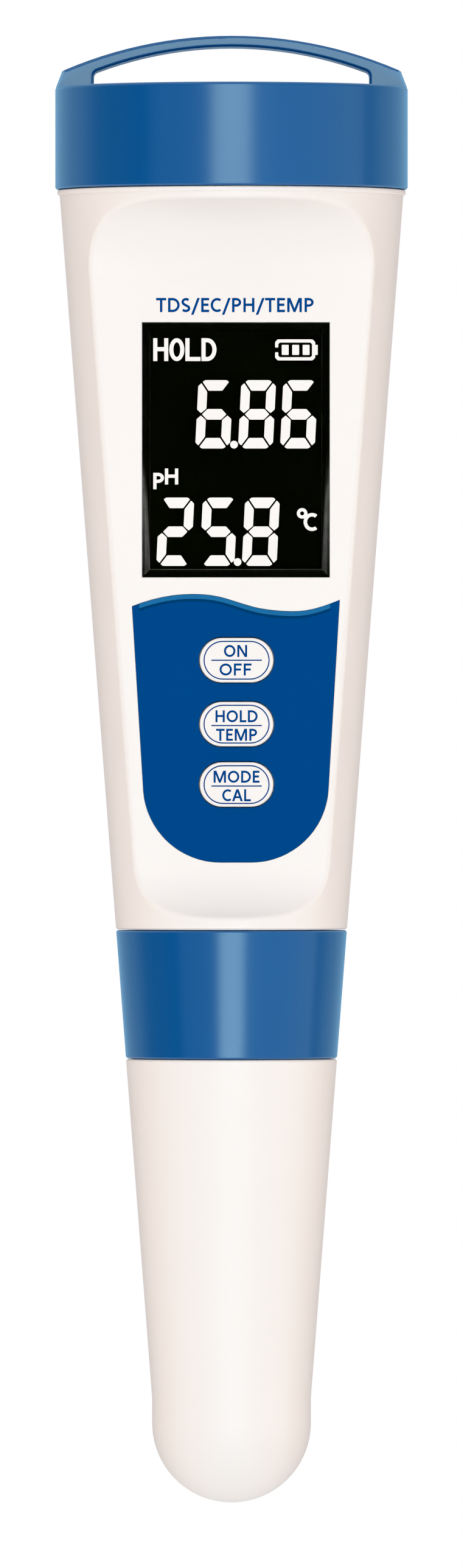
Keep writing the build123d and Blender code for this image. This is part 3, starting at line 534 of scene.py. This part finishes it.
# Form, width and the gaps left and right of it, in capital heights.
LETTERS = {
    "T": (letter_t, 0.735, 0.035, 0.035),
    "D": (letter_d, 0.84, 0.1, 0.06),
    "S": (letter_s, 0.65, 0.06, 0.055),
    "/": (slash, 0.64, 0.0, 0.0),
    "E": (letter_e, 0.575, 0.1, 0.06),
    "C": (letter_c, 0.79, 0.05, 0.025),
    "P": (letter_p, 0.66, 0.1, 0.06),
    "H": (letter_h, 0.8, 0.1, 0.1),
    "M": (letter_m, 1.06, 0.1, 0.1),
    "O": (letter_o, 0.98, 0.06, 0.06),
    "L": (letter_l, 0.565, 0.1, 0.04),
    "F": (letter_f, 0.62, 0.1, 0.06),
    "N": (letter_n, 0.84, 0.1, 0.1),
    "A": (letter_a, 0.9, 0.01, 0.01),
}
STROKE = 0.17


def add_letter(maker, form, left, bottom, w, h, t, level):
    """Raised letter in a w by h box with its lower left corner at a point on the face."""
    placed = [[(left + p, bottom + q) for p, q in contour] for contour in form(w, h, t)]
    add_filled(maker, placed, level, level + INK)


def lettering(name, text, centre, height, width, level, material, body):
    """Raised capitals fitted to a box on the face: their height and the whole word's width."""
    natural = sum(sum(LETTERS[letter][1:]) for letter in text)
    natural -= LETTERS[text[0]][2] + LETTERS[text[-1]][3]
    unit = width / natural
    maker = bmesh.new()
    u = centre[0] - width / 2 - LETTERS[text[0]][2] * unit
    for letter in text:
        form, w, before, after = LETTERS[letter]
        u += before * unit
        add_letter(maker, form, u, centre[1] - height / 2, w * unit, height, STROKE * height, level)
        u += (w + after) * unit
    piece_from(maker, name, material, body)


# ---- Lit display ------------------------------------------------------------------------------------

lens_centre = face_middle("display_lens")
glass_front = face_span("lcd_glass")[1][2]
segment_level = glass_front + 0.005 * MM
DIGIT_WIDTH = 4.13 * MM
DIGIT_HEIGHT = 8.12 * MM
UPRIGHT = 1.1 * MM
CROSSBAR = 1.26 * MM
CHAMFER = 0.72 * MM
SEGMENT_GAP = 0.14 * MM
LEAN = 0.05
DIGIT_ROUNDING = 0.1 * MM
MARK_ROUNDING = 0.08 * MM
POINT_RADIUS = 0.46 * MM
LIT_SEGMENTS = {"2": "abged", "5": "afgcd", "6": "afgecd", "8": "abcdefg"}


def segment_outlines():
    """Outlines of the seven segments of an upright digit, from its lower left corner."""
    w, h, up, bar, gap = DIGIT_WIDTH, DIGIT_HEIGHT, UPRIGHT, CROSSBAR, SEGMENT_GAP
    mid = h / 2
    tip = 0.6 * CHAMFER
    side = CHAMFER - tip
    inner = up + 0.55 * gap
    top = [
        (tip + gap / 2, h - side + gap / 2),
        (CHAMFER + gap / 2, h),
        (w - CHAMFER - gap / 2, h),
        (w - tip - gap / 2, h - side + gap / 2),
        (w - inner - gap / 2, h - bar),
        (inner + gap / 2, h - bar),
    ]
    left = [
        (0, h - CHAMFER),
        (tip - gap / 2, h - side - gap / 2),
        (up, h - bar - gap),
        (up, mid + bar / 2 + gap / 3),
        (tip + gap / 3, mid + gap),
        (0, mid + 0.8 * CHAMFER),
    ]
    middle = [
        (tip + 1.3 * gap, mid),
        (inner + gap / 3, mid + bar / 2),
        (w - inner - gap / 3, mid + bar / 2),
        (w - tip - 1.3 * gap, mid),
        (w - inner - gap / 3, mid - bar / 2),
        (inner + gap / 3, mid - bar / 2),
    ]

    def flip_u(points):
        return [(w - u, v) for u, v in points]

    def flip_v(points):
        return [(u, h - v) for u, v in points]

    return {
        "a": top,
        "b": flip_u(left),
        "c": flip_u(flip_v(left)),
        "d": flip_v(top),
        "e": flip_v(left),
        "f": left,
        "g": middle,
    }


def add_digit(maker, digit, left, bottom):
    """Seven-segment digit with its lower left corner at a point on the face."""
    outlines = segment_outlines()
    for letter in LIT_SEGMENTS[digit]:
        outline = rounded(outlines[letter], DIGIT_ROUNDING)
        points = [(left + u + v * LEAN, bottom + v) for u, v in outline]
        add_prism(maker, points, segment_level, segment_level + INK)


def disc(centre, radius, steps=32):
    """Round outline."""
    turns = [2 * math.pi * step / steps for step in range(steps)]
    return [(centre[0] + radius * math.cos(t), centre[1] + radius * math.sin(t)) for t in turns]


def reading(name, digits, lefts, bottom, point_u):
    """Row of digits with a decimal point, placed in millimetres from the lens's middle."""
    maker = bmesh.new()
    for digit, left in zip(digits, lefts):
        add_digit(maker, digit, lens_centre[0] + left * MM, lens_centre[1] + bottom * MM)
    point = (lens_centre[0] + point_u * MM, lens_centre[1] + bottom * MM + POINT_RADIUS)
    add_prism(maker, disc(point, POINT_RADIUS), segment_level, segment_level + INK)
    piece_from(maker, name, lit, "housing")


reading("reading_ph", "686", (-4.84, 0.25, 5.24), 0.14, -0.22)
reading("reading_temperature", "258", (-9.47, -4.32, 0.7), -13.8, 0.2)


def display_marks(name, forms, stroke):
    """Letters lit on the display: form, left, bottom, width and height about the lens's middle."""
    maker = bmesh.new()
    for form, left, bottom, w, h in forms:
        u, v = lens_centre[0] + left * MM, lens_centre[1] + bottom * MM
        add_letter(maker, form, u, v, w * MM, h * MM, stroke * MM, segment_level)
    piece_from(maker, name, lit, "housing")


MARKS_LEFT = -9.82
HOLD_STEP = 1.91
hold_forms = enumerate((letter_h, letter_o, letter_l, letter_d))
hold_marks = [(form, MARKS_LEFT + i * HOLD_STEP, 10.52, 1.79, 2.72) for i, form in hold_forms]
ph_marks = [(letter_p, MARKS_LEFT, -4.69, 1.28, 1.95), (letter_h, -8.43, -4.13, 1.58, 1.9)]
display_marks("display_hold", hold_marks, 0.49)
display_marks("display_ph", ph_marks, 0.39)
display_marks("display_celsius", [(letter_c, 8.04, -9.66, 1.68, 2.15)], 0.42)


def degree_and_battery():
    """Degree ring of the temperature unit, and the battery gauge."""
    u0, v0 = lens_centre
    low, high = segment_level, segment_level + INK
    maker = bmesh.new()
    ring_centre = (u0 + 7.87 * MM, v0 - 7.56 * MM)
    add_ring(maker, disc(ring_centre, 0.63 * MM), disc(ring_centre, 0.24 * MM), low, high)
    left, right = u0 + 4.66 * MM, u0 + 9.42 * MM
    bottom, top = v0 + 10.6 * MM, v0 + 13.1 * MM
    middle = (bottom + top) / 2
    line, corner, hook = 0.38 * MM, 0.32 * MM, 0.97 * MM
    slope = corner + 0.24 * MM
    outer = [
        (left, bottom + corner),
        (left + corner, bottom),
        (right - corner, bottom),
        (right, bottom + corner),
        (right, top - corner),
        (right - corner, top),
        (left + corner, top),
        (left, top - corner),
        (left, top - hook),
        (left + line, top - hook),
        (left + line, top - slope),
        (left + slope, top - line),
        (right - slope, top - line),
        (right - line, top - slope),
        (right - line, bottom + slope),
        (right - slope, bottom + line),
        (left + slope, bottom + line),
        (left + line, bottom + slope),
        (left + line, bottom + hook),
        (left, bottom + hook),
    ]
    add_filled(maker, [rounded(outer, MARK_ROUNDING)], low, high)
    bar_start, bar_width, bar_half, bar_step = 0.79 * MM, 0.82 * MM, 0.6 * MM, 1.24 * MM
    for index in range(3):
        start = left + bar_start + index * bar_step
        end = start + bar_width
        bar = rectangle(start, end, middle - bar_half, middle + bar_half)
        add_filled(maker, [rounded(bar, MARK_ROUNDING)], low, high)
    nub = rectangle(right, right + 0.3 * MM, middle - bar_half, middle + bar_half)
    add_filled(maker, [rounded(nub, 0.06 * MM)], low, high)
    piece_from(maker, "display_gauge", lit, "housing")


degree_and_battery()

# ---- Printing on the face, the overlay and the keys -------------------------------------------------

face_level = face_span("display_lens")[1][2] + 0.02 * MM
header_centre = (lens_centre[0] - 0.12 * MM, lens_centre[1] + 17.18 * MM)
HEADER_HEIGHT = 1.68 * MM
HEADER_WIDTH = 18.7 * MM
lettering(
    "face_header",
    "TDS/EC/PH/TEMP",
    header_centre,
    HEADER_HEIGHT,
    HEADER_WIDTH,
    face_level,
    print_ink,
    "housing",
)


WAVE_DEPTH = 2.2 * MM
FRONT_TOLERANCE = 0.01 * MM


def wave_edge():
    """Points of the overlay's wavy top edge, from left to right, and its front's height."""
    high = face_span("keypad_overlay")[1]
    points = set()
    for vertex in nodes["keypad_overlay"].data.vertices:
        u, v, w = face_place(vertex)
        if w > high[2] - FRONT_TOLERANCE and v > high[1] - WAVE_DEPTH:
            points.add((round(u, 7), round(v, 7)))
    return sorted(points), high[2]


def wave_band(name, material, above, below):
    """Band that follows the wavy edge between two distances below it: printed for the light stripe, a
    painted shadow line for the dark one.
    """
    edge, level = wave_edge()
    inset = 0.1 * MM
    edge = [(u, v) for u, v in edge if edge[0][0] + inset <= u <= edge[-1][0] - inset]
    outline = [(u, v - above) for u, v in edge] + [(u, v - below) for u, v in reversed(edge)]
    maker = bmesh.new()
    count = len(edge)
    rows = [[maker.verts.new(on_face(u, v, w)) for u, v in outline] for w in (level, level + INK)]
    for i in range(count - 1):
        j = 2 * count - 1 - i
        for row in rows:
            maker.faces.new((row[i], row[i + 1], row[j - 1], row[j]))
    for i in range(2 * count):
        j = (i + 1) % (2 * count)
        maker.faces.new((rows[0][i], rows[0][j], rows[1][j], rows[1][i]))
    piece_from(maker, name, material, "housing")


wave_band("overlay_wave_light", wave_light_ink, 0.0, 0.53 * MM)
# The dark band below the printed light stripe is a painted shadow line.
wave_band("overlay_wave_painted_shadow", wave_painted_shadow_ink, 0.53 * MM, 0.85 * MM)

# How far right and up the words sit of the key's middle, then each word with its width.
KEY_WORDS = {
    "on_off": (-0.12, 0.0, (("ON", 2.75), ("OFF", 3.8))),
    "hold_temp": (0.0, -0.16, (("HOLD", 5.0), ("TEMP", 4.86))),
    "mode_cal": (0.0, -0.17, (("MODE", 5.45), ("CAL", 3.4))),
}
CAPITAL_HEIGHT = 1.42 * MM
OUTLINE_WIDTH = 7.85 * MM
OUTLINE_HEIGHT = 4.62 * MM
LINE = 0.14 * MM
DIVIDER_WIDTH = 6.0 * MM
WORD_RISE = 1.1 * MM


def key_print(key, right, up, words):
    """Outline, divider and two words on a key."""
    body = f"{key}_key"
    centre = face_middle(f"key_{key}")
    level = face_span(f"key_{key}")[1][2]
    maker = bmesh.new()
    add_ring(
        maker,
        stadium(centre, OUTLINE_WIDTH, OUTLINE_HEIGHT),
        stadium(centre, OUTLINE_WIDTH - 2 * LINE, OUTLINE_HEIGHT - 2 * LINE),
        level,
        level + INK,
    )
    half = DIVIDER_WIDTH / 2
    middle = centre[1] + up * MM
    divider = rectangle(centre[0] - half, centre[0] + half, middle - LINE / 2, middle + LINE / 2)
    add_prism(maker, divider, level, level + INK)
    piece_from(maker, f"key_print_{key}", print_ink, body)
    for side, (word, width) in zip((1, -1), words):
        lettering(
            f"key_word_{word.lower()}_{key}",
            word,
            (centre[0] + right * MM, middle + side * WORD_RISE),
            CAPITAL_HEIGHT,
            width * MM,
            level,
            print_ink,
            body,
        )


for key, print_places in KEY_WORDS.items():
    key_print(key, *print_places)

# ---- Camera -----------------------------------------------------------------------------------------

LENS = 500
SENSOR = 36
VIEW_HEIGHT = 186.76 * MM
VIEW_MIDDLE = -87.7 * MM

camera_data = bpy.data.cameras.new("camera")
camera_data.lens = LENS
camera_data.sensor_width = SENSOR
camera = bpy.data.objects.new("camera", camera_data)
scene.collection.objects.link(camera)
distance = VIEW_HEIGHT / SENSOR * LENS
camera.location = (0, -distance, VIEW_MIDDLE)
camera.rotation_euler = (math.pi / 2, 0, 0)
camera_data.clip_start = 0.05
camera_data.clip_end = 20
scene.camera = camera

# ---- Floor, world and lights ------------------------------------------------------------------------

FLOOR_RADIUS = 0.34
FLOOR_HEIGHT = -0.62
FLOOR_COLOUR = (0.86, 0.9, 0.93, 1.0)


def floor_disc():
    """Pale round floor below the hanging pen."""
    maker = bmesh.new()
    bmesh.ops.create_circle(maker, cap_ends=True, segments=128, radius=FLOOR_RADIUS)
    mesh = bpy.data.meshes.new("floor")
    maker.to_mesh(mesh)
    maker.free()
    floor = bpy.data.objects.new("floor", mesh)
    floor.location = (0, 0, FLOOR_HEIGHT)
    scene.collection.objects.link(floor)
    paint = moulded("floor_paint", FLOOR_COLOUR, 0.8, 0.1, grain=300, depth=0.01, variation=0.004)
    mesh.materials.append(paint)


floor_disc()

# Light that the world gives from the front and sides, from behind, from high up and from low down.
DARK = (0.01, 0.01, 0.01)
REAR = (0.44, 0.54, 0.625)
HIGH = (0.93, 0.905, 0.9)
LOW = (0.94, 0.83, 0.73)
# The world's Y coordinate, mapped from front 0 to back 1, against the light that comes from there.
BAND_STOPS = ((0.55, DARK), (0.72, REAR))
# How steeply up or down the light has to come from for the high or low colour to begin and be full.
STEEP_FROM, STEEP_FULL = 0.32, 0.68


def studio_world():
    """White to the camera. To everything else a dim studio: dark to the front and sides at eye level,
    brighter behind, and softly lit from high and low."""
    world = bpy.data.worlds.new("studio")
    scene.world = world
    world.use_nodes = True
    tree = world.node_tree
    output = tree.nodes["World Output"]
    backdrop = tree.nodes.new("ShaderNodeBackground")
    backdrop.inputs["Color"].default_value = (1, 1, 1, 1)
    room = tree.nodes["Background"]
    room.inputs["Strength"].default_value = 1.0
    place = tree.nodes.new("ShaderNodeTexCoord")
    parts = tree.nodes.new("ShaderNodeSeparateXYZ")
    tree.links.new(place.outputs["Generated"], parts.inputs["Vector"])
    depth = tree.nodes.new("ShaderNodeValToRGB")
    shift = tree.nodes.new("ShaderNodeMapRange")
    shift.inputs["From Min"].default_value = -1
    tree.links.new(parts.outputs["Y"], shift.inputs["Value"])
    tree.links.new(shift.outputs["Result"], depth.inputs["Fac"])
    stops = depth.color_ramp.elements
    stops[0].position, stops[0].color = 0.0, (*DARK, 1)
    stops[1].position, stops[1].color = 1.0, (*REAR, 1)
    for position, colour in BAND_STOPS:
        stop = stops.new(position)
        stop.color = (*colour, 1)
    light = depth.outputs["Color"]
    for side, colour in ((1, HIGH), (-1, LOW)):
        away = tree.nodes.new("ShaderNodeMapRange")
        away.interpolation_type = "SMOOTHSTEP"
        away.inputs["From Min"].default_value = side * STEEP_FROM
        away.inputs["From Max"].default_value = side * STEEP_FULL
        tree.links.new(parts.outputs["Z"], away.inputs["Value"])
        blend = tree.nodes.new("ShaderNodeMix")
        blend.data_type = "RGBA"
        tree.links.new(away.outputs["Result"], blend.inputs["Factor"])
        tree.links.new(light, blend.inputs["A"])
        blend.inputs["B"].default_value = (*colour, 1)
        light = blend.outputs["Result"]
    tree.links.new(light, room.inputs["Color"])
    path = tree.nodes.new("ShaderNodeLightPath")
    mix = tree.nodes.new("ShaderNodeMixShader")
    tree.links.new(path.outputs["Is Camera Ray"], mix.inputs["Fac"])
    tree.links.new(room.outputs["Background"], mix.inputs[1])
    tree.links.new(backdrop.outputs["Background"], mix.inputs[2])
    tree.links.new(mix.outputs["Shader"], output.inputs["Surface"])


studio_world()


def panel(name, azimuth, elevation, reach, width, height, power, colour):
    """Soft panel that faces the pen's middle from a direction; azimuth 0 is in front of the face.

    Angles are in degrees, lengths in metres and the power in watts.
    """
    target = Vector((0, 0, VIEW_MIDDLE))
    a, e = math.radians(azimuth), math.radians(elevation)
    way = Vector((math.sin(a) * math.cos(e), -math.cos(a) * math.cos(e), math.sin(e)))
    data = bpy.data.lights.new(name, "AREA")
    data.shape = "RECTANGLE"
    data.size = width
    data.size_y = height
    data.energy = power
    data.color = colour
    light = bpy.data.objects.new(name, data)
    light.location = target + way * reach
    light.rotation_euler = (-way).to_track_quat("-Z", "Y").to_euler()
    light.visible_camera = False
    scene.collection.objects.link(light)
    return light


# The two strips leave a gap at eye level, so that the window stays dark and the blue rings shine.
panel("strip_upper", 0, 14.0, 1.2, 0.53, 0.55, 5.14, (1.0, 0.965, 0.93))
panel("strip_lower", 0, -15.5, 1.2, 0.53, 0.4, 4.0, (0.965, 0.995, 1.0))
panel("front_upper", 0, 48, 1.5, 1.6, 0.9, 1.8, (0.98, 1.0, 0.98))
panel("front_lower", 0, -46, 1.2, 1.4, 0.7, 2.1, (0.56, 0.83, 1.0))
# These two only show as reflections; the three after them light without showing as reflections.
COOL = (0.83, 0.915, 1.0)
panel("gloss_right", 54, 0, 1.2, 2.16, 0.9, 6.1, COOL).visible_diffuse = False
panel("gloss_left", -33, 0, 1.2, 0.92, 0.9, 1.3, COOL).visible_diffuse = False
for azimuth in (-96, 96):
    side = panel(f"side_{azimuth}", azimuth, 0, 1.2, 1.0, 1.2, 5.07, (1.0, 0.672, 0.48))
    side.visible_glossy = False
panel("back", 180, 15, 1.2, 1.0, 1.0, 4.5, (1.0, 0.9, 0.82)).visible_glossy = False

scene.view_settings.view_transform = "Standard"
scene.view_settings.look = "None"
